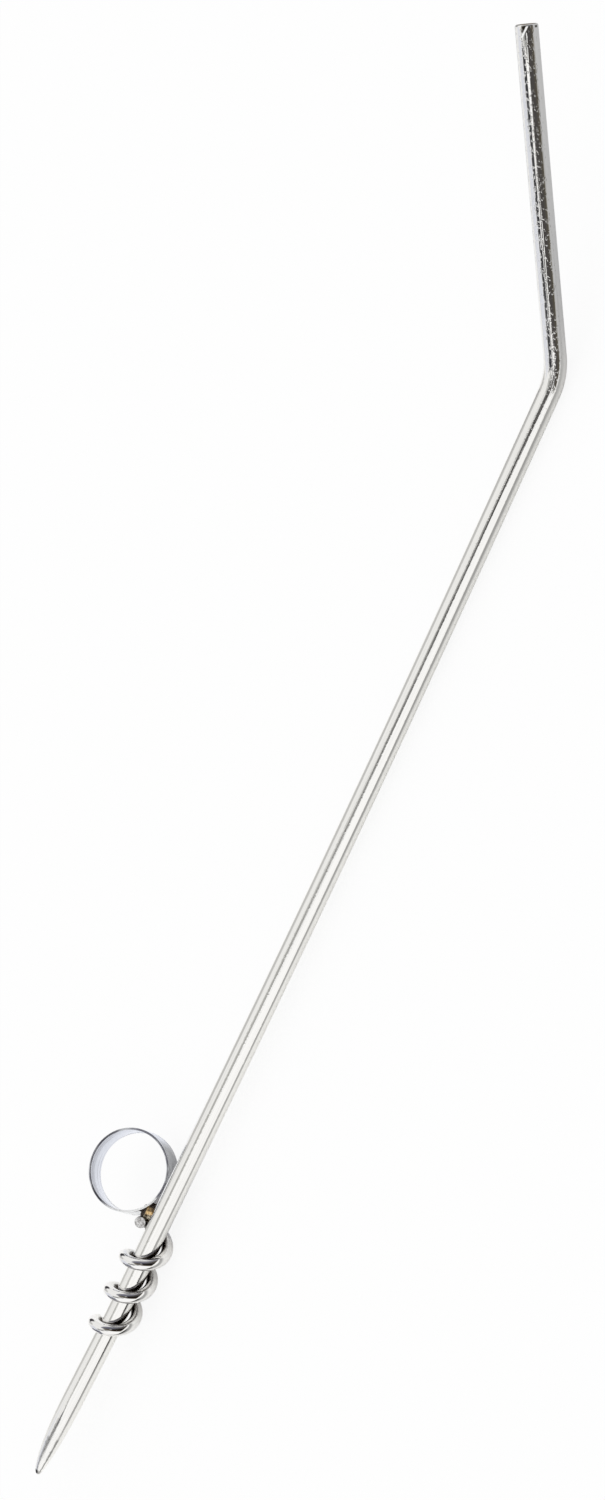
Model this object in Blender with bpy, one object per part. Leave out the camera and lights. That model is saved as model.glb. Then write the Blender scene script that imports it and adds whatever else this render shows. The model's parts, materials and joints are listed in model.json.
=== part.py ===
"""Bent, pointed rod with a strip ring on a spring-wire clip, lying on a bench.

Metres, +Z up. The shank of the rod runs along the tool's own X axis, from the point at X = 0
towards the handle. The handle bends towards the tool's +Y, the side on which the ring stands.
The finished tool is rolled and pitched into the attitude in which it rests on a flat bench, on
its bend, its coil and the rim of its ring, with the middle of its footprint at the origin.
"""
import math

import bmesh
import bpy
from mathutils import Matrix, Vector

# Rod: drawn steel wire with a square-cut handle end and a ground point
ROD_DIAMETER = 0.0032
SHANK_LENGTH = 0.175          # point to the corner where shank and handle would meet
HANDLE_LENGTH = 0.048         # that corner to the square-cut end
BEND_ANGLE = math.radians(30.0)
BEND_RADIUS = 0.0105          # to the rod's centreline
POINT_LENGTH = 0.013          # ground bullet nose
POINT_FULLNESS = 0.56          # power of the nose curve: lower is blunter
POINT_TIP_RADIUS = 0.0002
END_CHAMFER = 0.00025

# Clip wire: round spring wire wound on the shank, its turns canted so that they grip
WIRE_DIAMETER = 0.0016
WIRE_CLEARANCE = 0.0003       # between the wire and the rod
COIL_START = 0.02595          # middle of the first turn, from the point
COIL_PITCH = 0.00539
COIL_TURNS = 3
COIL_LEAD_IN = math.radians(130.0)     # wire before the front of the first turn
COIL_TAIL = math.radians(256.0)        # wire past the front of the last turn, up to its cut end
CANT_FORWARD = -0.00084       # lean of each turn at its front, along the shank
CANT_SIDEWAYS = 0.00015       # lean of each turn at its right side

# Ring: one band of thin strip, standing beside the shank
RING_DIAMETER = 0.0122        # outside
STRIP_WIDTH = 0.0042
STRIP_THICKNESS = 0.00035
RING_CLEARANCE = 0.0003       # between the band and the rod
RING_PAST_TAIL = 0.00535      # middle of the ring beyond the wire's cut end, along the shank
RING_ROLL = math.radians(-26.4)        # turn of the ring about the shank
RING_CANT = math.radians(12.9)         # lean of the ring's axis towards the handle
RING_DROP = 0.0004            # outer rim below the rod's centreline

# Braze: the bead of filler that joins the wire's tail to the band
BRAZE_LENGTH = 0.0030         # along the band's width
BRAZE_WIDTH = 0.0026          # around the ring
BRAZE_HEIGHT = 0.0022         # from the wire to the band, before it is hollowed
BRAZE_CLEARANCE = 0.0003      # to the wire, the band and the rod
BRAZE_TOWARDS_ROD = 0.0007    # off the place where wire and band come nearest

ROD_SIDES = 36
WIRE_SIDES = 12
WIRE_STEPS_PER_TURN = 32
RING_SIDES = 64

ROD_RADIUS = ROD_DIAMETER / 2
WIRE_RADIUS = WIRE_DIAMETER / 2
RING_RADIUS = RING_DIAMETER / 2
COIL_MEAN_RADIUS = ROD_RADIUS + WIRE_CLEARANCE + WIRE_RADIUS
COIL_OUTER_RADIUS = COIL_MEAN_RADIUS + WIRE_RADIUS
WIRE_END_ANGLE = (COIL_TURNS - 1) * math.tau + COIL_TAIL


def clear_scene():
    for existing in list(bpy.data.objects):
        bpy.data.objects.remove(existing, do_unlink=True)


def metal(name, colour, roughness, metallic=1.0):
    material = bpy.data.materials.new(name)
    material.use_nodes = True
    shader = material.node_tree.nodes["Principled BSDF"]
    shader.inputs["Base Color"].default_value = (*colour, 1.0)
    shader.inputs["Roughness"].default_value = roughness
    shader.inputs["Metallic"].default_value = metallic
    return material


def add_empty(name, parent=None):
    empty = bpy.data.objects.new(name, None)
    empty.empty_display_size = 0.01
    bpy.context.scene.collection.objects.link(empty)
    empty.parent = parent
    return empty


def add_piece(name, mesh_data, material, parent):
    """Close a bmesh into a smooth-shaded object hung on its parent."""
    bmesh.ops.recalc_face_normals(mesh_data, faces=mesh_data.faces)
    mesh = bpy.data.meshes.new(name)
    mesh_data.to_mesh(mesh)
    mesh_data.free()
    mesh.materials.append(material)
    mesh.shade_smooth()
    mesh.set_sharp_from_angle(angle=math.radians(35.0))
    piece = bpy.data.objects.new(name, mesh)
    bpy.context.scene.collection.objects.link(piece)
    piece.parent = parent
    return piece


def sweep(stations, sides):
    """Skin a round bar through stations of (centre, direction, radius), with flat ends."""
    bar = bmesh.new()
    across = stations[0][1].orthogonal().normalized()
    loops = []
    for centre, direction, radius in stations:
        across = (across - across.dot(direction) * direction).normalized()
        beside = direction.cross(across)
        loop = []
        for side in range(sides):
            turn = math.tau * side / sides
            loop.append(bar.verts.new(centre + radius * (math.cos(turn) * across + math.sin(turn) * beside)))
        loops.append(loop)
    for lower, upper in zip(loops, loops[1:]):
        for side in range(sides):
            following = (side + 1) % sides
            bar.faces.new((lower[side], lower[following], upper[following], upper[side]))
    bar.faces.new(loops[0])
    bar.faces.new(loops[-1])
    return bar


def nose_radius(reach):
    """Radius of the ground nose at a distance from the point's tip."""
    fullness = (1.0 - (1.0 - reach / POINT_LENGTH) ** 2) ** POINT_FULLNESS
    return POINT_TIP_RADIUS + (ROD_RADIUS - POINT_TIP_RADIUS) * fullness


def rod_stations():
    shank = Vector((1.0, 0.0, 0.0))
    handle = Vector((math.cos(BEND_ANGLE), math.sin(BEND_ANGLE), 0.0))
    tangent = BEND_RADIUS * math.tan(BEND_ANGLE / 2)
    corner = SHANK_LENGTH * shank
    stations = []
    nose_steps = 10
    for step in range(nose_steps + 1):
        reach = POINT_LENGTH * (step / nose_steps) ** 1.6
        stations.append((reach * shank, shank, nose_radius(reach)))
    bend_centre = corner - tangent * shank + Vector((0.0, BEND_RADIUS, 0.0))
    bend_steps = 10
    for step in range(bend_steps + 1):
        turned = BEND_ANGLE * step / bend_steps
        outward = Vector((math.sin(turned), -math.cos(turned), 0.0))
        forward = Vector((math.cos(turned), math.sin(turned), 0.0))
        stations.append((bend_centre + BEND_RADIUS * outward, forward, ROD_RADIUS))
    stations.append((corner + (HANDLE_LENGTH - END_CHAMFER) * handle, handle, ROD_RADIUS))
    stations.append((corner + HANDLE_LENGTH * handle, handle, ROD_RADIUS - END_CHAMFER))
    return stations


def wire_centre(angle):
    """Point on the clip wire's centreline; angle 0 is the front of the first turn."""
    along = COIL_START + COIL_PITCH * angle / math.tau
    along += CANT_FORWARD * math.cos(angle) + CANT_SIDEWAYS * math.sin(angle)
    return Vector((along, -COIL_MEAN_RADIUS * math.sin(angle), COIL_MEAN_RADIUS * math.cos(angle)))


def wire_stations(radius, first=-COIL_LEAD_IN, last=WIRE_END_ANGLE):
    steps = math.ceil((last - first) / math.tau * WIRE_STEPS_PER_TURN)
    nudge = 0.001
    stations = []
    for step in range(steps + 1):
        angle = first + (last - first) * step / steps
        direction = (wire_centre(angle + nudge) - wire_centre(angle - nudge)).normalized()
        stations.append((wire_centre(angle), direction, radius))
    return stations


def ring_seat():
    """Place of the band on the clip: its Z runs along the ring's axis, Z = 0 at the outer rim."""
    roll = Matrix.Rotation(RING_ROLL, 4, 'X')
    beside_rod = RING_RADIUS + RING_CLEARANCE + ROD_RADIUS
    along = wire_centre(WIRE_END_ANGLE).x + RING_PAST_TAIL
    centre = Matrix.Translation((along, 0.0, 0.0)) @ roll @ Vector((0.0, beside_rod, -RING_DROP))
    return Matrix.Translation(centre) @ roll @ Matrix.Rotation(RING_CANT, 4, 'Y')


def ring_mesh(outer, inner, top, bottom):
    """A closed band between two radii and two heights."""
    band = bmesh.new()
    corners = ((outer, bottom), (outer, top), (inner, top), (inner, bottom))
    loops = []
    for side in range(RING_SIDES):
        turn = math.tau * side / RING_SIDES
        loops.append([band.verts.new((radius * math.cos(turn), radius * math.sin(turn), height))
                      for radius, height in corners])
    for side in range(RING_SIDES):
        here = loops[side]
        there = loops[(side + 1) % RING_SIDES]
        for corner in range(4):
            following = (corner + 1) % 4
            band.faces.new((here[corner], there[corner], there[following], here[following]))
    return band


def cutter(name, mesh_data, parent, place=Matrix.Identity(4)):
    bmesh.ops.transform(mesh_data, matrix=place, verts=mesh_data.verts)
    bmesh.ops.recalc_face_normals(mesh_data, faces=mesh_data.faces)
    mesh = bpy.data.meshes.new(name)
    mesh_data.to_mesh(mesh)
    mesh_data.free()
    tool = bpy.data.objects.new(name, mesh)
    bpy.context.scene.collection.objects.link(tool)
    tool.parent = parent
    tool.hide_render = True
    tool.display_type = 'WIRE'
    return tool


def braze_frame():
    """Where the wire's tail and the band come nearest: X along the band's width, Z into the band."""
    seat = ring_seat()
    from_seat = seat.inverted()
    nearest = None
    for step in range(61):
        wire = wire_centre(WIRE_END_ANGLE - math.radians(1.0) * step)
        local = from_seat @ wire
        height = min(max(local.z, -STRIP_WIDTH), 0.0)
        on_band = RING_RADIUS * Vector((local.x, local.y, 0.0)).normalized() + Vector((0.0, 0.0, height))
        gap = (local - on_band).length
        if nearest is None or gap < nearest[0]:
            nearest = (gap, wire, seat @ on_band)
    into_band = (nearest[2] - nearest[1]).normalized()
    ring_axis = seat.to_3x3() @ Vector((0.0, 0.0, 1.0))
    along_width = (ring_axis - ring_axis.dot(into_band) * into_band).normalized()
    across = into_band.cross(along_width)
    middle = (nearest[2] + nearest[1] + WIRE_RADIUS * into_band) / 2
    away = across.dot(Vector((0.0, middle.y, middle.z)))
    middle -= math.copysign(BRAZE_TOWARDS_ROD, away) * across
    turn = Matrix((along_width, across, into_band)).transposed().to_4x4()
    return Matrix.Translation(middle) @ turn


def make_rod(tool):
    steel = metal("drawn_steel", (0.78, 0.77, 0.75), 0.18)
    return add_piece("bent_rod", sweep(rod_stations(), ROD_SIDES), steel, tool)


def make_wire(clip):
    bright = metal("bright_spring_wire", (0.80, 0.79, 0.78), 0.10)
    return add_piece("clip_wire", sweep(wire_stations(WIRE_RADIUS), WIRE_SIDES), bright, clip)


def make_ring(clip):
    strip = metal("polished_strip", (0.80, 0.81, 0.83), 0.15)
    band = ring_mesh(RING_RADIUS, RING_RADIUS - STRIP_THICKNESS, 0.0, -STRIP_WIDTH)
    piece = add_piece("ring_band", band, strip, clip)
    piece.matrix_local = ring_seat()
    return piece


def make_braze(clip):
    """An oval bead, hollowed where the wire, the band and the rod pass it."""
    brass = metal("brazing_brass", (0.72, 0.52, 0.26), 0.35)
    bead = bmesh.new()
    bmesh.ops.create_uvsphere(bead, u_segments=24, v_segments=16, radius=0.5)
    bmesh.ops.scale(bead, vec=(BRAZE_LENGTH, BRAZE_WIDTH, BRAZE_HEIGHT), verts=bead.verts)
    piece = add_piece("braze_bead", bead, brass, clip)
    piece.matrix_local = braze_frame()

    tail = wire_stations(WIRE_RADIUS + BRAZE_CLEARANCE, first=WIRE_END_ANGLE - math.radians(150.0))
    end, direction, radius = tail[-1]
    tail[-1] = (end + BRAZE_CLEARANCE * direction, direction, radius)
    eye = bmesh.new()
    bmesh.ops.create_cone(eye, cap_ends=True, segments=RING_SIDES, radius1=RING_RADIUS + BRAZE_CLEARANCE,
                          radius2=RING_RADIUS + BRAZE_CLEARANCE, depth=4 * STRIP_WIDTH)
    bmesh.ops.transform(eye, matrix=ring_seat(), verts=eye.verts)
    shank_room = ROD_RADIUS + BRAZE_CLEARANCE
    along = Vector((1.0, 0.0, 0.0))
    shank = [(reach * along, along, shank_room) for reach in (0.0, SHANK_LENGTH)]
    for name, tool_data in (("tail_room", sweep(tail, WIRE_SIDES)), ("band_room", eye),
                            ("shank_room", sweep(shank, ROD_SIDES))):
        cut = piece.modifiers.new(name, 'BOOLEAN')
        cut.operation = 'DIFFERENCE'
        cut.object = cutter(name, tool_data, clip)
    return piece


def resting_turn(ring):
    """Roll and pitch that lay the tool on its bend, its coil and the rim of its ring."""
    tangent = BEND_RADIUS * math.tan(BEND_ANGLE / 2)
    bend_x = SHANK_LENGTH - tangent
    coil_x = wire_centre(WIRE_END_ANGLE - COIL_TAIL / 2).x      # under the last turn
    drop = (COIL_OUTER_RADIUS - ROD_RADIUS) / (bend_x - coil_x)
    seat = ring_seat()
    down = math.tau
    for corner in ring.data.vertices:
        rim = seat @ corner.co
        reach = math.hypot(rim.y, rim.z)
        clear = COIL_OUTER_RADIUS - drop * (rim.x - coil_x)
        if reach > clear:
            bearing = math.atan2(rim.z, rim.y)
            down = min(down, bearing - math.acos(clear / reach))
    roll = -math.pi / 2 - down
    return Matrix.Rotation(math.atan(drop), 4, 'Y') @ Matrix.Rotation(roll, 4, 'X')


def stand_on_bench(tool, turn, pieces):
    """Turn the whole tool and set the middle of its footprint, at bench height, at the origin."""
    tool.matrix_world = turn
    bpy.context.view_layer.update()
    corners = [piece.matrix_world @ corner.co for piece in pieces for corner in piece.data.vertices]
    low = [min(corner[axis] for corner in corners) for axis in range(3)]
    high = [max(corner[axis] for corner in corners) for axis in range(3)]
    tool.location = (-(low[0] + high[0]) / 2, -(low[1] + high[1]) / 2, -low[2])
    bpy.context.view_layer.update()


def main():
    clear_scene()
    tool = add_empty("tool")
    clip = add_empty("clip_slider", tool)     # slides along its own X, the shank's centreline
    rod = make_rod(tool)
    wire = make_wire(clip)
    ring = make_ring(clip)
    make_braze(clip)
    stand_on_bench(tool, resting_turn(ring), (rod, wire, ring))


main()
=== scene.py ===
import json
import math

import bmesh
import bpy
from mathutils import Matrix, Vector, noise


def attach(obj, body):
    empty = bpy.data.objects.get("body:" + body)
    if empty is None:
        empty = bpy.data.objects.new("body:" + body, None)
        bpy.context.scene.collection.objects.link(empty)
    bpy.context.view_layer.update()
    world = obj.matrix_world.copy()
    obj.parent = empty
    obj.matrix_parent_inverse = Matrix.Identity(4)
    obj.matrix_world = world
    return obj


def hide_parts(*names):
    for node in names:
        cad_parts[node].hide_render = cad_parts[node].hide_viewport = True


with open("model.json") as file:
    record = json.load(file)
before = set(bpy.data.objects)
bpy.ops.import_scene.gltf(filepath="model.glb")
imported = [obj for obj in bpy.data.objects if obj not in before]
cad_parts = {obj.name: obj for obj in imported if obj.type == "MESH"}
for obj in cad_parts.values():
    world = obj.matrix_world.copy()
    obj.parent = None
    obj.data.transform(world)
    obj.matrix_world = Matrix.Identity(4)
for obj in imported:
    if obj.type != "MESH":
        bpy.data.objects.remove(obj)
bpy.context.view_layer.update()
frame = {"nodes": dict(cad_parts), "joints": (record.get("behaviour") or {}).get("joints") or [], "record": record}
print("frame loaded:", sorted(frame["nodes"]))


rod = {
    "diameter": 0.0032,
    "shank": 0.175,
    "handle": 0.048,
    "bendAngle": math.radians(30.0),
    "bendRadius": 0.0105,
    "pointLength": 0.013,
    "pointFullness": 0.56,
    "pointCrowding": 1.7,        # rings of points crowd towards the tip
    "tipRadius": 0.00018,
    "pointLean": -0.00038,       # the point isn't quite on the axis
    "endRound": 0.00028,
    "endTrim": 0.00005,
    "tipLean": 0.036,            # the end past the clip leans over a little
    "tipLeanFrom": 0.028,
    "tipLeanBlend": 0.004,
    "leanLeft": 0.0003,          # what is left of the lean where the sag starts
    "sag": 0.00052,              # a slight bow between the clip and the bend
    "sagFrom": 0.0392,
    "sides": 72,
    "steps": {"point": 22, "shank": 60, "bend": 24, "handle": 8, "end": 5},
    "steel": (0.86, 0.85, 0.83),
    "drawMarks": (0.78, 0.77, 0.755),
    "lineDepth": 0.35,
    "roughness": (0.04, 0.10),
    "pitDepth": (0.10, 0.9),     # on the shank, and on the handle
    "pitsFrom": (0.170, 0.182),
    "groundTo": 0.0063,          # the point is ground up to here
    "groundRoughness": 0.17,
    # painted dark reflections in lines along both sides of the ground point
    "pointShadeLines": (0.28, 0.28, 0.27),
    "pointShadeLinesAt": ((46.0, 60.0), (107.0, 121.0)),    # degrees round the rod
    # the very tip darker, most on one side
    "darkerTip": (0.07, 0.065, 0.06),
    "stainAndShade": (0.05, 0.04, 0.03),
    "scratched": (0.93, 0.93, 0.92),
    # marks at the cut end: degrees round the rod, and metres from the end
    "nick": {"around": (60.0, 96.0, 14.0), "fromEnd": (0.0001, 0.0011, 0.0003)},
    "dot": {"around": (132.0, 150.0, 8.0), "fromEnd": (0.0002, 0.0005, 0.0002)},
    "scratch": {"around": (90.0, 102.0, 6.0), "fromEnd": (0.0002, 0.0017, 0.0002),
                "slant": 22000.0},
    "cutFace": ((0.05, 0.03, 0.018), (0.26, 0.18, 0.09)),
}


def toolPlace():
    along = Vector(frame["joints"][0]["axis"]).normalized()
    mount = frame["record"]["mounts"][0]
    handle = Vector(mount["axis"]).normalized()
    up = along.cross(handle).normalized()
    side = up.cross(along)
    tip = Vector(mount["pos_m"]) - rod["handle"] * handle - rod["shank"] * along
    turn = Matrix((along, side, up)).transposed().to_4x4()
    return Matrix.Translation(tip) @ turn


place = toolPlace()


def bow(x):
    if x < rod["sagFrom"]:
        past = rod["tipLeanFrom"] - x
        return rod["tipLean"] * (past + math.hypot(past, rod["tipLeanBlend"])) / 2
    bendStart = rod["shank"] - rod["bendRadius"] * math.tan(rod["bendAngle"] / 2)
    share = min((x - rod["sagFrom"]) / (bendStart - rod["sagFrom"]), 1.0)
    start = rod["tipLean"] * rod["leanLeft"]
    return start * (1.0 - share) - rod["sag"] * math.sin(math.pi * share)


def pointFullness(x):
    share = min(max(x / rod["pointLength"], 0.0), 1.0)
    return (1.0 - (1.0 - share) ** 2) ** rod["pointFullness"]


def newNodes(name):
    material = bpy.data.materials.new(name)
    material.use_nodes = True
    return material, material.node_tree, material.node_tree.nodes["Principled BSDF"]


def addNode(tree, kind, inputs=None, **settings):
    made = tree.nodes.new("ShaderNode" + kind)
    for key, value in settings.items():
        setattr(made, key, value)
    for key, value in (inputs or {}).items():
        if isinstance(value, bpy.types.NodeSocket):
            tree.links.new(value, made.inputs[key])
        else:
            made.inputs[key].default_value = value
    return made


def calc(tree, operation, first, second=0.0, third=0.0):
    return addNode(tree, "Math", {0: first, 1: second, 2: third}, operation=operation).outputs[0]


def ramp(tree, value, low, high, outLow=0.0, outHigh=1.0):
    inputs = {"Value": value, "From Min": low, "From Max": high,
              "To Min": outLow, "To Max": outHigh}
    return addNode(tree, "MapRange", inputs, interpolation_type="SMOOTHSTEP").outputs["Result"]


def between(tree, value, low, high, soft):
    rise = ramp(tree, value, low - soft / 2, low + soft / 2)
    fall = ramp(tree, value, high - soft / 2, high + soft / 2, 1.0, 0.0)
    return calc(tree, "MULTIPLY", rise, fall)


def mixColour(tree, factor, under, over):
    mix = addNode(tree, "Mix", data_type="RGBA")
    for socket, value in ((mix.inputs[0], factor), (mix.inputs[6], under), (mix.inputs[7], over)):
        if isinstance(value, bpy.types.NodeSocket):
            tree.links.new(value, socket)
        elif socket.type == "RGBA":
            socket.default_value = (*value, 1.0)
        else:
            socket.default_value = value
    return mix.outputs[2]


# every piece keeps where its points lay before it was bent or put in its place
def keepUnbent(mesh):
    unbent = mesh.verts.layers.float_vector.new("unbent")
    for vert in mesh.verts:
        vert[unbent] = vert.co


def stretched(tree, scale):
    source = addNode(tree, "Attribute", attribute_name="unbent").outputs["Vector"]
    return addNode(tree, "Mapping", {"Vector": source, "Scale": scale}).outputs["Vector"]


def unbentPoint(tree, scale=1.0):
    return addNode(tree, "SeparateXYZ", {0: stretched(tree, (scale, scale, scale))}).outputs


def coordinates(tree, kind):
    return addNode(tree, "SeparateXYZ", {0: addNode(tree, "TexCoord").outputs[kind]}).outputs


def noiseAt(tree, vector, scale, detail=2.0, roughness=0.5):
    inputs = {"Vector": vector, "Scale": scale, "Detail": detail, "Roughness": roughness}
    return addNode(tree, "TexNoise", inputs).outputs["Fac"]


def wavered(tree, value, wave, amount):
    return calc(tree, "MULTIPLY_ADD", calc(tree, "SUBTRACT", wave, 0.5), amount, value)


def roughen(tree, shader, height, strength, distance):
    bump = addNode(tree, "Bump", {"Height": height, "Strength": strength, "Distance": distance})
    tree.links.new(bump.outputs[0], shader.inputs["Normal"])


def extrudeLoop(mesh, edges, matrix):
    made = bmesh.ops.extrude_edge_only(mesh, edges=edges)["geom"]
    verts = [item for item in made if isinstance(item, bmesh.types.BMVert)]
    bmesh.ops.transform(mesh, matrix=matrix, verts=verts)
    return [item for item in made if isinstance(item, bmesh.types.BMEdge)
            and all(vert in verts for vert in item.verts)]


def straightBar(stations, sides):
    mesh = bmesh.new()
    x, radius = stations[0]
    start = Matrix.Translation((x, 0.0, 0.0)) @ Matrix.Rotation(math.pi / 2, 4, "Y")
    bmesh.ops.create_circle(mesh, segments=sides, radius=radius, matrix=start)
    loop = mesh.edges[:]
    firstLoop = loop
    for (x0, r0), (x1, r1) in zip(stations, stations[1:]):
        widen = Matrix.Diagonal((1.0, r1 / r0, r1 / r0, 1.0))
        step = Matrix.Translation((x1 - x0, 0.0, 0.0)) @ widen
        step = Matrix.Translation((x0, 0.0, 0.0)) @ step @ Matrix.Translation((-x0, 0.0, 0.0))
        loop = extrudeLoop(mesh, loop, step)
    for end in (firstLoop, loop):
        bmesh.ops.contextual_create(mesh, geom=end)
    keepUnbent(mesh)
    return mesh


def linkMesh(name, mesh, materials):
    data = bpy.data.meshes.new(name)
    mesh.to_mesh(data)
    mesh.free()
    for material in materials:
        data.materials.append(material)
    made = bpy.data.objects.new(name, data)
    bpy.context.scene.collection.objects.link(made)
    return made


def finishPiece(name, mesh, materials, body, node, smoothAngle=40.0):
    bmesh.ops.recalc_face_normals(mesh, faces=mesh.faces)
    bmesh.ops.transform(mesh, matrix=place, verts=mesh.verts)
    piece = linkMesh(name, mesh, materials)
    piece.data.shade_smooth()
    piece.data.set_sharp_from_angle(angle=math.radians(smoothAngle))
    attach(piece, body)
    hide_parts(node)
    print("piece", name, len(piece.data.polygons), "faces")


def drawnSteel(length):
    material, tree, shader = newNodes("drawnSteel")
    lines = noiseAt(tree, stretched(tree, (40.0, 9000.0, 9000.0)), 1.0, 3.0, 0.6)
    grain = noiseAt(tree, stretched(tree, (2000.0, 3000.0, 3000.0)), 1.0, 1.0)
    patches = noiseAt(tree, stretched(tree, (90.0, 400.0, 400.0)), 1.0, 2.0)
    point = unbentPoint(tree)
    along = point["X"]
    around = calc(tree, "DEGREES", calc(tree, "ARCTAN2", point["Z"], point["Y"]))
    wander = wavered(tree, around, grain, 22.0)
    # draw marks all along, and pits that are deeper on the handle
    lineBump = addNode(tree, "Bump", {"Height": lines, "Strength": rod["lineDepth"],
                                      "Distance": 0.00001})
    pits = ramp(tree, grain, 0.56, 0.70)                   # sparse, so reflections stay sharp
    depth = ramp(tree, along, *rod["pitsFrom"], *rod["pitDepth"])
    pitBump = addNode(tree, "Bump", {"Height": pits, "Strength": depth,
                                     "Distance": 0.000022, "Normal": lineBump.outputs[0]})
    tree.links.new(pitBump.outputs[0], shader.inputs["Normal"])
    rough = ramp(tree, patches, 0.3, 0.7, *rod["roughness"])
    ground = ramp(tree, along, rod["groundTo"] + 0.0005, rod["groundTo"] + 0.0042,
                  rod["groundRoughness"], 0.0)
    tree.links.new(calc(tree, "ADD", rough, ground), shader.inputs["Roughness"])
    shade = mixColour(tree, ramp(tree, lines, 0.35, 0.75), rod["steel"], rod["drawMarks"])
    # painted dark reflections in lines along both sides of the ground point, and the tip darker, most on one side
    edges = calc(tree, "MAXIMUM", *(between(tree, wander, *side, 10.0)
                                    for side in rod["pointShadeLinesAt"]))
    onPoint = ramp(tree, along, rod["groundTo"] - 0.0002, rod["groundTo"] + 0.0002, 0.7, 0.0)
    shade = mixColour(tree, calc(tree, "MULTIPLY", edges, onPoint), shade, rod["pointShadeLines"])
    darkerTip = calc(tree, "MULTIPLY", ramp(tree, along, 0.0005, 0.0008, 1.0, 0.0),
                 ramp(tree, around, 60.0, 110.0, 1.0, 0.3))
    shade = mixColour(tree, darkerTip, shade, rod["darkerTip"])
    # a stained nick and a dot beside the cut end, with a bright scratch across the nick
    fromEnd = calc(tree, "SUBTRACT", length, along)
    nick = calc(tree, "MULTIPLY", between(tree, wander, *rod["nick"]["around"]),
                between(tree, fromEnd, *rod["nick"]["fromEnd"]))
    dot = calc(tree, "MULTIPLY", between(tree, around, *rod["dot"]["around"]),
               between(tree, fromEnd, *rod["dot"]["fromEnd"]))
    shade = mixColour(tree, calc(tree, "MAXIMUM", nick, dot), shade, rod["stainAndShade"])
    slanted = calc(tree, "MULTIPLY_ADD", fromEnd, rod["scratch"]["slant"], around)
    scratch = calc(tree, "MULTIPLY", between(tree, slanted, *rod["scratch"]["around"]),
                   between(tree, fromEnd, *rod["scratch"]["fromEnd"]))
    shade = mixColour(tree, scratch, shade, rod["scratched"])
    tree.links.new(calc(tree, "SUBTRACT", 1.0, scratch), shader.inputs["Metallic"])
    tree.links.new(shade, shader.inputs["Base Color"])
    return material


def cutSteel():
    material, tree, shader = newNodes("cutSteel")
    blotch = noiseAt(tree, stretched(tree, (1.0, 1.0, 1.0)), 2600.0, 4.0, 0.6)
    shade = mixColour(tree, ramp(tree, blotch, 0.35, 0.65), *rod["cutFace"])
    tree.links.new(shade, shader.inputs["Base Color"])
    roughen(tree, shader, blotch, 0.6, 0.00004)
    shader.inputs["Metallic"].default_value = 0.7
    shader.inputs["Roughness"].default_value = 0.45
    return material


def evenly(start, length, steps, radius):
    return [(start + length * step / steps, radius) for step in range(1, steps + 1)]


def makeRod():
    radius = rod["diameter"] / 2
    steps = rod["steps"]
    tangent = rod["bendRadius"] * math.tan(rod["bendAngle"] / 2)
    bendStart = rod["shank"] - tangent
    arc = rod["bendRadius"] * rod["bendAngle"]
    length = bendStart + arc + rod["handle"] - tangent - rod["endTrim"]
    plain = length - rod["endRound"]
    stations = []
    for step in range(steps["point"] + 1):
        x = rod["pointLength"] * (step / steps["point"]) ** rod["pointCrowding"]
        stations.append((x, rod["tipRadius"] + (radius - rod["tipRadius"]) * pointFullness(x)))
    stations += evenly(rod["pointLength"], bendStart - rod["pointLength"], steps["shank"], radius)
    stations += evenly(bendStart, arc, steps["bend"], radius)
    stations += evenly(bendStart + arc, plain - bendStart - arc, steps["handle"], radius)
    for step in range(1, steps["end"]):
        turned = math.pi / 2 * step / steps["end"]
        stations.append((plain + rod["endRound"] * math.sin(turned),
                         radius - rod["endRound"] * (1.0 - math.cos(turned))))
    mesh = straightBar(stations, rod["sides"])

    unbent = mesh.verts.layers.float_vector["unbent"]
    centre = Vector((bendStart, rod["bendRadius"], 0.0))
    for vert in mesh.verts:
        x = vert.co.x
        turned = min(max(x - bendStart, 0.0) / rod["bendRadius"], rod["bendAngle"])
        past = max(x - bendStart - arc, 0.0)
        if turned > 0.0:
            turn = Matrix.Rotation(turned, 3, "Z")
            vert.co = centre + turn @ (Vector((bendStart + past, vert.co.y, vert.co.z)) - centre)
        else:
            vert.co.y += bow(x) + rod["pointLean"] * (1.0 - pointFullness(x))
    mesh.normal_update()
    lastX = max(vert[unbent].x for vert in mesh.verts)
    for face in mesh.faces:
        if all(vert[unbent].x > lastX - 1e-7 for vert in face.verts):
            face.material_index = 1
    materials = [drawnSteel(length), cutSteel()]
    finishPiece("pointedRod", mesh, materials, "rod", "bent_rod")


wire = {
    "diameter": 0.0017,
    "coilOutside": 0.00698,
    "start": 0.02593,
    "pitch": 0.005375,
    "turns": 3,
    "leadIn": math.radians(130.0),
    "tail": math.radians(258.0),
    "cantForward": -0.00077,
    "cantSideways": 0.00015,
    "endRound": 0.00018,
    "endSteps": 4,
    "cutDepth": 0.0001,          # faces this near to an end belong to its cut
    "sides": 32,
    "stepsPerTurn": 64,
    "steel": (0.84, 0.83, 0.82),
    "drawMarks": (0.74, 0.73, 0.72),
    "roughness": (0.02, 0.06),
    # painted shade for the inside of the coil, and how deep it reaches
    "stainAndShade": (0.045, 0.035, 0.028),
    "innerShadeDepth": (-0.00062, -0.00030),      # from the wire's middle, towards the rod
    "burnt": (0.05, 0.04, 0.03),
    "burntFromEnd": (0.0012, 0.0006),
    "cutFace": ((0.40, 0.39, 0.38), (0.86, 0.855, 0.85)),
}


def wireCentre(angle):
    x = wire["start"] + wire["pitch"] * angle / math.tau
    x += wire["cantForward"] * math.cos(angle) + wire["cantSideways"] * math.sin(angle)
    mean = (wire["coilOutside"] - wire["diameter"]) / 2
    return Vector((x, -mean * math.sin(angle), mean * math.cos(angle)))


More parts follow.
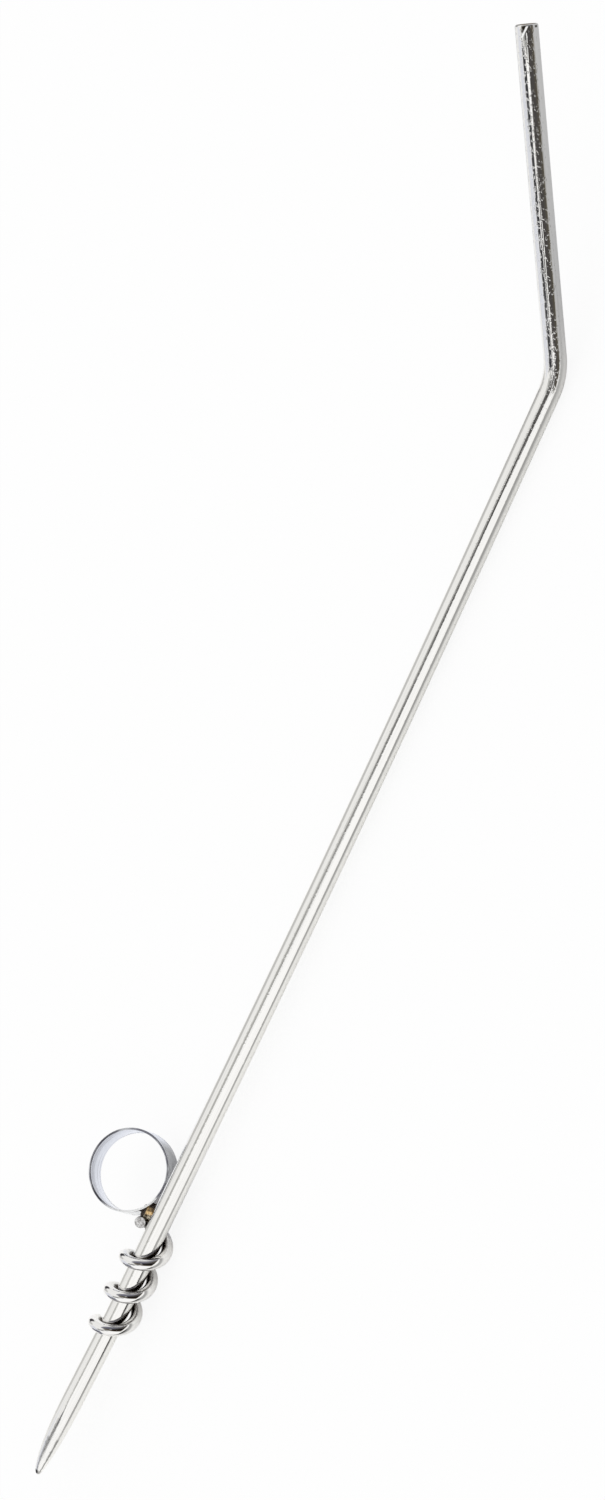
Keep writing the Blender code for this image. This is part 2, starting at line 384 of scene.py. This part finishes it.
def springSteel(length):
    material, tree, shader = newNodes("springSteel")
    lines = noiseAt(tree, stretched(tree, (60.0, 5200.0, 5200.0)), 1.0, 2.0, 0.5)
    dull = noiseAt(tree, stretched(tree, (500.0, 500.0, 500.0)), 1.0, 2.0)
    point = unbentPoint(tree)    # X runs along the wire, and Z away from the rod
    roughen(tree, shader, lines, 0.25, 0.00001)
    rough = ramp(tree, dull, 0.3, 0.75, *wire["roughness"])
    tree.links.new(rough, shader.inputs["Roughness"])
    shade = mixColour(tree, ramp(tree, lines, 0.4, 0.8), wire["steel"], wire["drawMarks"])
    # painted shade on the inside of the coil, on the side towards the rod
    ragged = wavered(tree, point["Z"], dull, 0.0004)
    innerShade = ramp(tree, ragged, *wire["innerShadeDepth"], 1.0, 0.0)            # inside the coil
    shade = mixColour(tree, innerShade, shade, wire["stainAndShade"])
    ragged = calc(tree, "MULTIPLY_ADD", dull, 0.0010, point["X"])
    burnt = ramp(tree, ragged, *(length - away for away in wire["burntFromEnd"]))
    shade = mixColour(tree, burnt, shade, wire["burnt"])                   # next to the braze
    tree.links.new(shade, shader.inputs["Base Color"])
    shader.inputs["Metallic"].default_value = 1.0
    return material


def cutWire():
    material, tree, shader = newNodes("cutWire")
    grain = noiseAt(tree, stretched(tree, (1.0, 1.0, 1.0)), 3000.0, 3.0, 0.6)
    shade = mixColour(tree, ramp(tree, grain, 0.38, 0.62), *wire["cutFace"])
    tree.links.new(shade, shader.inputs["Base Color"])
    roughen(tree, shader, grain, 0.5, 0.00003)
    shader.inputs["Metallic"].default_value = 0.6
    shader.inputs["Roughness"].default_value = 0.5
    return material


def makeWire():
    first = -wire["leadIn"]
    last = (wire["turns"] - 1) * math.tau + wire["tail"]
    steps = round((last - first) / math.tau * wire["stepsPerTurn"])
    centres = [wireCentre(first + (last - first) * step / steps) for step in range(steps + 1)]
    radius = wire["diameter"] / 2
    reach = [0.0]
    for before, after in zip(centres, centres[1:]):
        reach.append(reach[-1] + (after - before).length)
    rounds = []
    for step in range(wire["endSteps"]):
        turn = math.pi / 2 * step / wire["endSteps"]
        rounds.append((wire["endRound"] * (1 - math.cos(turn)),
                       radius - wire["endRound"] * (1 - math.sin(turn))))
    stations = list(rounds)
    stations += [(x, radius) for x in reach if wire["endRound"] < x < reach[-1] - wire["endRound"]]
    stations += [(reach[-1] - x, across) for x, across in reversed(rounds)]
    mesh = straightBar(stations, wire["sides"])

    # the straight wire is carried onto the coil without twisting it
    across = (centres[1] - centres[0]).orthogonal().normalized()
    frames = []
    for step in range(steps + 1):
        ahead = centres[min(step + 1, steps)] - centres[max(step - 1, 0)]
        ahead.normalize()
        across = (across - across.dot(ahead) * ahead).normalized()
        frames.append((ahead, across.copy(), ahead.cross(across)))
    unbent = mesh.verts.layers.float_vector["unbent"]
    step = 0
    for vert in sorted(mesh.verts, key=lambda item: item.co.x):
        x = vert.co.x
        while step < steps - 1 and reach[step + 1] < x:
            step += 1
        share = (x - reach[step]) / (reach[step + 1] - reach[step])
        centre = centres[step].lerp(centres[step + 1], share)
        sideways = frames[step][1].lerp(frames[step + 1][1], share)
        upward = frames[step][2].lerp(frames[step + 1][2], share)
        offset = vert.co.y * sideways + vert.co.z * upward
        outwards = Vector((0.0, centre.y, centre.z)).normalized()
        lateral = frames[step][0].cross(outwards)
        vert[unbent] = (x, offset.dot(lateral), offset.dot(outwards))
        vert.co = centre + offset
    for face in mesh.faces:
        ends = [vert[unbent].x for vert in face.verts]
        if min(ends) > reach[-1] - wire["cutDepth"] or max(ends) < wire["cutDepth"]:
            face.material_index = 1
    materials = [springSteel(reach[-1]), cutWire()]
    finishPiece("clipWire", mesh, materials, "clip", "clip_wire")


ring = {
    "diameter": 0.0122,
    "width": 0.0042,
    "thickness": 0.00035,
    "clearance": 0.0003,
    "along": 0.04597,
    "roll": math.radians(-26.4),
    "cant": math.radians(12.9),
    "drop": 0.0004,
    "edgeRound": 0.00014,
    "sides": 160,
    "steel": ((0.74, 0.75, 0.775), (0.80, 0.81, 0.83)),
    "streaks": (0.58, 0.585, 0.60),
    "roughness": (0.08, 0.16),
    "cutEdge": ((0.26, 0.26, 0.30), (0.60, 0.61, 0.64)),
    # the rims darker in two arcs, and paler beside the coil
    "darkRim": (0.06, 0.06, 0.075),
    "darkRimShare": 0.8,
    "darkRimAt": ((48.0, 86.0, 22.0), (142.0, 172.0, 18.0)),     # degrees round the ring
    "paleRim": (0.93, 0.935, 0.94),
    "paleRimX": (-1.7, -0.9),     # millimetres from the ring's middle
    "paleRimY": (-0.6, 1.0),
}


def ringSeat():
    roll = Matrix.Rotation(ring["roll"], 4, "X")
    beside = (ring["diameter"] + rod["diameter"]) / 2 + ring["clearance"]
    centre = roll @ Vector((0.0, beside, -ring["drop"])) + Vector((ring["along"], 0.0, 0.0))
    return Matrix.Translation(centre) @ roll @ Matrix.Rotation(ring["cant"], 4, "Y")


def stripSteel():
    material, tree, shader = newNodes("stripSteel")
    brushed = noiseAt(tree, stretched(tree, (200.0, 200.0, 7000.0)), 1.0, 2.0, 0.6)
    cloud = noiseAt(tree, stretched(tree, (350.0, 350.0, 350.0)), 1.0, 3.0)
    bands = noiseAt(tree, stretched(tree, (60.0, 60.0, 1500.0)), 1.0, 2.0, 0.6)
    roughen(tree, shader, brushed, 0.2, 0.00001)
    rough = ramp(tree, cloud, 0.3, 0.75, *ring["roughness"])
    tree.links.new(rough, shader.inputs["Roughness"])
    plain = mixColour(tree, cloud, *ring["steel"])
    shade = mixColour(tree, ramp(tree, bands, 0.52, 0.66), plain, ring["streaks"])
    tree.links.new(shade, shader.inputs["Base Color"])
    shader.inputs["Metallic"].default_value = 1.0
    return material


def cutStrip():
    material, tree, shader = newNodes("cutStrip")
    nicks = noiseAt(tree, stretched(tree, (420.0, 420.0, 420.0)), 1.0, 2.0)
    shade = mixColour(tree, ramp(tree, nicks, 0.42, 0.62), *ring["cutEdge"])
    point = unbentPoint(tree, 1000.0)
    around = calc(tree, "DEGREES", calc(tree, "ARCTAN2", point["Y"], point["X"]))
    # the rims darker in two arcs, and paler beside the coil
    darker = calc(tree, "MAXIMUM", *(between(tree, around, *part) for part in ring["darkRimAt"]))
    darkRimMix = calc(tree, "MULTIPLY", darker, ring["darkRimShare"])
    shade = mixColour(tree, darkRimMix, shade, ring["darkRim"])
    paleRim = calc(tree, "MULTIPLY", ramp(tree, point["X"], *ring["paleRimX"], 1.0, 0.0),
                  ramp(tree, point["Y"], *ring["paleRimY"], 1.0, 0.0))
    shade = mixColour(tree, paleRim, shade, ring["paleRim"])                 # beside the coil
    tree.links.new(shade, shader.inputs["Base Color"])
    shader.inputs["Metallic"].default_value = 1.0
    shader.inputs["Roughness"].default_value = 0.32
    return material


def makeRing():
    mesh = bmesh.new()
    radius = ring["diameter"] / 2
    bmesh.ops.create_circle(mesh, segments=ring["sides"], radius=radius)
    near = mesh.edges[:]
    outerFar = extrudeLoop(mesh, near, Matrix.Translation((0.0, 0.0, -ring["width"])))
    shrink = (radius - ring["thickness"]) / radius
    inwards = Matrix.Diagonal((shrink, shrink, 1.0, 1.0))
    innerFar = extrudeLoop(mesh, outerFar, inwards)
    innerNear = extrudeLoop(mesh, innerFar, Matrix.Translation((0.0, 0.0, ring["width"])))
    bmesh.ops.bridge_loops(mesh, edges=near + innerNear)
    rims = [edge for edge in mesh.edges
            if len(edge.link_faces) == 2 and edge.calc_face_angle() > 1.0]
    bmesh.ops.bevel(mesh, geom=rims, offset=ring["edgeRound"], affect="EDGES", segments=3,
                    profile=0.5, material=-1)
    mesh.normal_update()
    for face in mesh.faces:
        face.material_index = 1 if abs(face.normal.z) > 0.3 else 0
    keepUnbent(mesh)
    bmesh.ops.transform(mesh, matrix=ringSeat(), verts=mesh.verts)
    materials = [stripSteel(), cutStrip()]
    finishPiece("ringBand", mesh, materials, "clip", "ring_band")


braze = {
    "centre": (0.0419, 0.00172, -0.0023),
    "size": (0.0032, 0.0023, 0.0023),
    "lumpiness": 0.22,
    "lumpScale": (1100.0, 2600.0),
    "seed": 3.0,
    "gold": (0.82, 0.57, 0.28),
    "paleGold": (0.93, 0.85, 0.67),
    "residue": (0.055, 0.04, 0.028),
    "goldFrom": 0.0409,          # along the rod, with dark residue on both sides of it
    "goldTo": 0.0427,
    "goldSide": 0.0024,
    "paleFrom": (0.0413, 0.0421),
    "raggedness": 0.0016,
}


def brazingBrass():
    material, tree, shader = newNodes("brazingBrass")
    point = unbentPoint(tree)
    cloud = noiseAt(tree, stretched(tree, (1.0, 1.0, 1.0)), 900.0, 3.0, 0.6)
    tint = noiseAt(tree, stretched(tree, (1.0, 1.0, 1.0)), 1500.0, 3.0, 0.5)
    ragged = wavered(tree, point["X"], cloud, braze["raggedness"])
    towardsPoint = ramp(tree, ragged, braze["goldFrom"] - 0.00025, braze["goldFrom"] + 0.00025,
                        1.0, 0.0)
    towardsHandle = ramp(tree, ragged, braze["goldTo"] - 0.00025, braze["goldTo"] + 0.00025)
    towardsRing = ramp(tree, point["Y"], braze["goldSide"] - 0.0001, braze["goldSide"] + 0.0001)
    residue = calc(tree, "MAXIMUM", towardsPoint, towardsHandle)
    residue = calc(tree, "MAXIMUM", residue, towardsRing)
    paler = wavered(tree, point["X"], tint, braze["raggedness"])
    paler = ramp(tree, paler, *braze["paleFrom"], 1.0, 0.0)
    gold = mixColour(tree, paler, braze["gold"], braze["paleGold"])
    shade = mixColour(tree, residue, gold, braze["residue"])
    tree.links.new(shade, shader.inputs["Base Color"])
    tree.links.new(ramp(tree, residue, 0.0, 1.0, 0.85, 0.3), shader.inputs["Metallic"])
    tree.links.new(ramp(tree, residue, 0.0, 1.0, 0.34, 0.50), shader.inputs["Roughness"])
    roughen(tree, shader, tint, 0.4, 0.00006)
    return material


def makeBraze():
    mesh = bmesh.new()
    bmesh.ops.create_icosphere(mesh, subdivisions=5, radius=0.5)
    bmesh.ops.scale(mesh, vec=braze["size"], verts=mesh.verts)
    broad, fine = braze["lumpScale"]
    for vert in mesh.verts:
        wave = noise.noise(vert.co * broad + Vector((braze["seed"], 0.0, 0.0)))
        wave += 0.5 * noise.noise(vert.co * fine + Vector((0.0, braze["seed"], 0.0)))
        vert.co *= 1.0 + braze["lumpiness"] * wave
    bmesh.ops.translate(mesh, vec=braze["centre"], verts=mesh.verts)
    keepUnbent(mesh)
    finishPiece("brazeBead", mesh, [brazingBrass()], "clip", "braze_bead", 80.0)


makeRod()
makeWire()
makeRing()
makeBraze()


# what the metal mirrors: directions from the tool, in degrees
# azimuth is 0 towards the viewer's side (-Y) and grows towards the handle's end
studio = {
    "level": (0.99, 0.99, 0.98),
    "patches": [
        {"azimuth": (-200, -158), "height": (8, 43), "soft": (10, 10),
         "colour": (0.62, 0.62, 0.61)},
        {"azimuth": (-200, -174), "height": (0, 22), "soft": (8, 8), "colour": (0.07, 0.065, 0.08)},
        {"azimuth": (150, 200), "height": (0, 22), "soft": (10, 8), "colour": (0.05, 0.048, 0.055)},
        {"azimuth": (-148, -104), "height": (12, 56), "soft": (10, 12),
         "colour": (0.83, 0.85, 0.92)},
        {"azimuth": (-112, -84), "height": (0, 46), "soft": (14, 14), "colour": (0.40, 0.42, 0.47)},
        {"azimuth": (-128, -92), "height": (-6, 22), "soft": (8, 8),
         "colour": (0.05, 0.045, 0.085)},
        {"azimuth": (62, 104), "height": (-5, 75), "soft": (14, 10), "colour": (0.24, 0.24, 0.27)},
        {"azimuth": (-2, 70), "height": (46, 74), "soft": (8, 10), "colour": (0.17, 0.155, 0.125)},
        {"azimuth": (3, 36), "height": (-12, 48), "soft": (4, 8), "colour": (0.08, 0.06, 0.035)},
        {"azimuth": (20, 60), "height": (-12, 42), "soft": (14, 8),
         "colour": (0.006, 0.006, 0.007)},
        {"azimuth": (54, 70), "height": (-12, 62), "soft": (6, 6), "colour": (0.04, 0.04, 0.075)},
        {"azimuth": (86, 93), "height": (30, 62), "soft": (4, 8), "colour": (0.10, 0.10, 0.18)},
        # the bright window
        {"azimuth": (-84, 3), "height": (-30, 62), "soft": (4, 6), "tilt": -0.1,
         "colour": (1.12, 1.12, 1.12)},
        # its frame, in stretches that are not equally dark
        {"azimuth": (-108, -56), "height": (56.5, 67), "soft": (10, 3),
         "colour": (0.05, 0.05, 0.055)},
        {"azimuth": (-60, -46), "height": (54, 65), "soft": (5, 3), "colour": (0.04, 0.04, 0.045)},
        {"azimuth": (-58, -42), "height": (39.5, 45.0), "soft": (6, 2), "tilt": -0.27,
         "colour": (0.12, 0.12, 0.12)},
        {"azimuth": (-76, -34), "height": (56.5, 65.5), "soft": (14, 3), "tilt": -0.2,
         "colour": (0.50, 0.50, 0.48)},
        {"azimuth": (-36, -18), "height": (48.5, 63.0), "soft": (8, 3), "tilt": -0.45,
         "colour": (0.32, 0.32, 0.31)},
        {"azimuth": (-21, -4), "height": (44.5, 59.0), "soft": (8, 4), "tilt": -0.45,
         "colour": (0.085, 0.085, 0.082)},
    ],
}


def makeWorld():
    world = bpy.data.worlds.new("studio")
    world.use_nodes = True
    tree = world.node_tree
    bpy.context.scene.world = world
    direction = coordinates(tree, "Generated")
    toViewer = calc(tree, "MULTIPLY", direction["Y"], -1.0)
    azimuth = calc(tree, "DEGREES", calc(tree, "ARCTAN2", direction["X"], toViewer))
    height = calc(tree, "DEGREES", calc(tree, "ARCSINE", direction["Z"]))
    colour = studio["level"]
    for patch in studio["patches"]:
        tilted = calc(tree, "MULTIPLY_ADD", azimuth, -patch.get("tilt", 0.0), height)
        mask = calc(tree, "MULTIPLY", between(tree, azimuth, *patch["azimuth"], patch["soft"][0]),
                    between(tree, tilted, *patch["height"], patch["soft"][1]))
        colour = mixColour(tree, mask, colour, patch["colour"])
    # only mirror rays see the patches, and all else is plain white light
    mirrored = addNode(tree, "LightPath").outputs["Is Glossy Ray"]
    light = mixColour(tree, mirrored, (1.0, 1.0, 1.0), colour)
    tree.links.new(light, tree.nodes["Background"].inputs["Color"])


# a dark board in front of the handle, which only mirror rays see
board = {
    "away": 0.130,
    "outline": ((0.057, 0.0), (0.053, 0.074), (0.045, 0.100), (0.028, 0.134), (-0.030, 0.212),
                (-0.014, 0.238), (0.055, 0.148), (0.072, 0.156), (0.100, 0.150), (0.420, 0.070),
                (0.420, 0.0)),
    "fade": 0.070,
    "low": (0.10, 0.09, 0.07),
    "high": (0.075, 0.07, 0.068),
}


def makeBoard():
    material, tree, shader = newNodes("darkBoard")
    up = coordinates(tree, "Object")["Z"]
    colour = mixColour(tree, ramp(tree, up, 0.0, board["fade"]), board["low"], board["high"])
    glow = addNode(tree, "Emission", {"Color": colour, "Strength": 1.0})
    tree.links.new(glow.outputs[0], tree.nodes["Material Output"].inputs["Surface"])
    mesh = bmesh.new()
    corners = [mesh.verts.new((x, -board["away"], z)) for x, z in board["outline"]]
    bmesh.ops.contextual_create(mesh, geom=corners)
    card = linkMesh("darkBoard", mesh, [material])
    card.visible_camera = False
    card.visible_diffuse = False
    card.visible_shadow = False


# the bench is plain, and only mirror rays see soft marks of shade and light on it
bench = {
    "size": 3.0,
    "lowered": 0.00002,
    "albedo": 0.93,
    "roughness": 0.9,
    "whitened": 0.88,            # share of plain white that the camera sees
    "plain": (1.10, 1.10, 1.085),
    "marks": [
        {"x": (0.068, 9.0), "y": (-9.0, 9.0), "soft": (0.020, 0.1),
         "colour": (0.60, 0.605, 0.615)},
        # soft shade lying along the shank, and a dark painted shadow in front of the coil
        {"x": (-9.0, 0.068), "y": (-0.0193, -0.0113), "soft": (0.020, 0.004), "skew": -0.03,
         "colour": (0.46, 0.46, 0.455)},
        {"x": (-9.0, -0.070), "y": (-0.0290, -0.0165), "soft": (0.020, 0.005), "skew": -0.03,
         "colour": (0.42, 0.42, 0.415)},
        {"x": (-0.020, 0.068), "y": (-0.0193, -0.0113), "soft": (0.080, 0.004), "skew": -0.03,
         "colour": (0.42, 0.42, 0.415)},
        {"x": (-0.097, -0.078), "y": (-0.036, -0.019), "soft": (0.008, 0.003),
         "colour": (0.03, 0.028, 0.026)},
        # in front of the handle, darker farther off, and the light behind the shank
        {"x": (0.068, 9.0), "y": (-9.0, -0.062), "soft": (0.020, 0.096),
         "colour": (0.19, 0.17, 0.13)},
        {"x": (-9.0, 0.068), "y": (0.005, 9.0), "soft": (0.020, 0.006), "colour": (1.1, 1.1, 1.1)},
        # a bluish place at the foot of the ring, with soft shade in it
        {"x": (-0.0700, -0.053), "y": (-0.006, 0.0125), "soft": (0.003, 0.003),
         "colour": (1.0, 1.02, 1.08)},
        {"x": (-0.068, -0.055), "y": (-0.0045, 0.0030), "soft": (0.003, 0.004),
         "colour": (0.68, 0.68, 0.68)},
    ],
}


def makeBench():
    material, tree, shader = newNodes("paleBench")
    shader.inputs["Base Color"].default_value = (bench["albedo"],) * 3 + (1.0,)
    shader.inputs["Roughness"].default_value = bench["roughness"]
    shader.inputs["Specular IOR Level"].default_value = 0.0
    point = coordinates(tree, "Object")
    colour = bench["plain"]
    for mark in bench["marks"]:
        skewed = calc(tree, "MULTIPLY_ADD", point["X"], mark.get("skew", 0.0), point["Y"])
        mask = calc(tree, "MULTIPLY", between(tree, point["X"], *mark["x"], mark["soft"][0]),
                    between(tree, skewed, *mark["y"], mark["soft"][1]))
        colour = mixColour(tree, mask, colour, mark["colour"])
    mirrored = addNode(tree, "BsdfDiffuse", {"Color": colour}).outputs[0]
    white = addNode(tree, "Emission", {"Color": (1.0, 1.0, 1.0, 1.0), "Strength": 1.0}).outputs[0]
    rays = addNode(tree, "LightPath").outputs
    share = calc(tree, "MULTIPLY", rays["Is Camera Ray"], bench["whitened"])
    seen = addNode(tree, "MixShader", {0: share, 1: shader.outputs[0], 2: white}).outputs[0]
    both = addNode(tree, "MixShader", {0: rays["Is Glossy Ray"], 1: seen, 2: mirrored}).outputs[0]
    tree.links.new(both, tree.nodes["Material Output"].inputs["Surface"])
    mesh = bmesh.new()
    bmesh.ops.create_grid(mesh, x_segments=1, y_segments=1, size=bench["size"],
                          matrix=Matrix.Translation((0.0, 0.0, -bench["lowered"])))
    linkMesh("bench", mesh, [material])


camera = {
    "place": (0.13426, -0.47760, 0.42179),
    "aim": (0.00099, 0.01206, 0.0),
    "roll": -75.56,
    "lens": 110.86,
    "sensor": 36.0,
    "clip": (0.01, 20.0),
}


def makeCamera():
    data = bpy.data.cameras.new("camera")
    data.lens = camera["lens"]
    data.sensor_width = camera["sensor"]
    data.clip_start, data.clip_end = camera["clip"]
    view = bpy.data.objects.new("camera", data)
    bpy.context.scene.collection.objects.link(view)
    towards = Vector(camera["aim"]) - Vector(camera["place"])
    level = towards.to_track_quat("-Z", "Y").to_matrix().to_4x4()
    turn = Matrix.Rotation(math.radians(camera["roll"]), 4, "Z")
    view.matrix_world = Matrix.Translation(camera["place"]) @ level @ turn
    bpy.context.scene.camera = view


makeWorld()
makeBoard()
makeBench()
makeCamera()
bpy.context.scene.view_settings.view_transform = "Standard"
print("surroundings and camera made")
